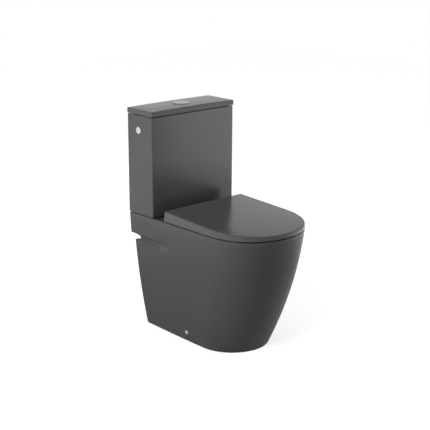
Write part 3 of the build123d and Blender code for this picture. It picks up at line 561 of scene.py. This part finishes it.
def plain_floor(finish):
    """A flat square of floor with the piece in its middle."""
    mesh = bpy.data.meshes.new("studio floor")
    shape = bmesh.new()
    bmesh.ops.create_grid(shape, x_segments=1, y_segments=1, size=FLOOR_HALF)
    shape.to_mesh(mesh)
    shape.free()
    mesh.materials.append(finish.material)
    return bpy.data.objects.new("studio_floor", mesh)


floor = plain_floor(pale_floor)
bpy.context.scene.collection.objects.link(floor)
print("floor", tuple(floor.dimensions))

# %% [markdown]
# ## The surround
#
# The world is treated in the same way: plain white for the camera, through
# glass and in a mirror, but no light on the piece.  All the light comes from
# soft panels, which can be placed.


# %% surround
def white_surround():
    """A world that is white to look at and lights nothing."""
    world = bpy.data.worlds.new("white surround")
    world.use_nodes = True
    sheet = Sheet(world.node_tree)
    back = world.node_tree.nodes["Background"]
    back.inputs["Color"].default_value = (*WHITE, 1)
    sheet.link(sheet.rays(*SEEN, MIRRORED), back.inputs["Strength"])
    bpy.context.scene.world = world
    return world


print("world", white_surround().name)

# %% [markdown]
# ## Soft light
#
# Each soft panel is placed by its bearing from the middle of the piece: the
# angle round it from straight ahead, its height angle and its distance.  Two
# arcs on the left and a few panels on the right light the sides, and big ones
# above and behind keep the top and the back from going black.
#
# The strong panels are kept out of reflections.  From low down beside the
# piece they would lie as white patches on the seat and the tank lid.  Only
# the weak ones are mirrored, for the long soft highlights on the glaze.

# %% lamps
MIDDLE = Vector((0.0, 0.0, 0.4))
AHEAD = Vector((0, -1, 0))


def soft_panel(name, bearing, height, distance, size, watts, mirrored=False):
    """A rectangular lamp that faces the middle of the piece."""
    lamp = bpy.data.lights.new(name, "AREA")
    lamp.shape = "RECTANGLE"
    lamp.size, lamp.size_y = size
    lamp.energy = watts
    panel = bpy.data.objects.new(name, lamp)
    turn = Matrix.Rotation(math.radians(bearing), 3, "Z")
    rise = Matrix.Rotation(-math.radians(height), 3, "X")
    heading = turn @ rise @ AHEAD
    panel.location = MIDDLE + heading * distance
    panel.rotation_euler = (-heading).to_track_quat("-Z", "Y").to_euler()
    panel.visible_camera = False
    panel.visible_glossy = mirrored
    bpy.context.scene.collection.objects.link(panel)
    print(name, [round(c, 2) for c in panel.location], watts, "W")


print("panels face", tuple(MIDDLE))

# %% [markdown]
# On the left a low arc of weak panels draws one long even highlight, since
# their sides touch.  A short, strong arc above it gives the light.

# %% lamps on the left
ARC_PANEL = {"distance": 2.3, "size": (0.62, 0.75)}
for bearing in (-135, -120, -105, -90, -75, -60):
    name = f"low arc {bearing}"
    soft_panel(name, bearing, height=0, watts=0.9, mirrored=True, **ARC_PANEL)
for bearing in (-105, -90, -75):
    name = f"high arc {bearing}"
    soft_panel(name, bearing, height=20, watts=17.9, **ARC_PANEL)

# %% [markdown]
# On the right the panels stand singly and further apart, so the far side
# falls off softly.  The top and back panels only lift the shade.

# %% lamps on the right, above and behind
SIDE_PANEL = {"distance": 2.4, "size": (0.9, 0.9)}
soft_panel("high right panel", 45, height=30, watts=14.9, **SIDE_PANEL)
for bearing in (65, 90):
    name = f"low right {bearing}"
    soft_panel(name, bearing, height=5, watts=14.6, **SIDE_PANEL)
for bearing in (25, 45):
    name = f"low front {bearing}"
    soft_panel(name, bearing, height=5, watts=1.2, mirrored=True, **SIDE_PANEL)
soft_panel(
    "near right panel",
    55,
    height=4,
    distance=1.4,
    size=(0.9, 0.7),
    watts=3.1,
    mirrored=True,
)
soft_panel("top panel", 0, height=80, distance=1.8, size=(1.4, 1.4), watts=5.3)
soft_panel("back panel", 180, height=6, distance=2.6, size=(1.4, 1.0), watts=16.0)

# %% [markdown]
# ## The camera
#
# A product view is taken from a few metres off with a long lens, at about eye
# height, so that upright edges stay nearly parallel.  The camera is turned by
# three angles: round the piece, down on to it, and a slight roll.

# %% camera
AZIMUTH, ELEVATION, ROLL = -42.577, 16.04, 0.289
LENS, SENSOR_WIDTH = 88.4093, 36.0
EYE = Vector((-2.3161, -2.4676, 1.4032))


def camera_turn():
    """World matrix that looks along the chosen azimuth and elevation."""
    az, el, roll = (math.radians(a) for a in (AZIMUTH, ELEVATION, ROLL))
    back = Vector(
        (math.sin(az) * math.cos(el), -math.cos(az) * math.cos(el), math.sin(el))
    )
    right = Vector((math.cos(az), math.sin(az), 0.0))
    up = back.cross(right)
    turned_right = right * math.cos(roll) + up * math.sin(roll)
    turned_up = up * math.cos(roll) - right * math.sin(roll)
    return Matrix((turned_right, turned_up, back)).transposed().to_4x4()


lens = bpy.data.cameras.new("studio camera")
lens.lens = LENS
lens.sensor_width = SENSOR_WIDTH
camera = bpy.data.objects.new("studio camera", lens)
camera.matrix_world = Matrix.Translation(EYE) @ camera_turn()
bpy.context.scene.collection.objects.link(camera)
bpy.context.scene.camera = camera
bpy.context.scene.view_settings.view_transform = "Standard"
print("camera at", tuple(round(c, 3) for c in EYE))

# %% [markdown]
# ## Closing
#
# Looks must not change the size of the piece.
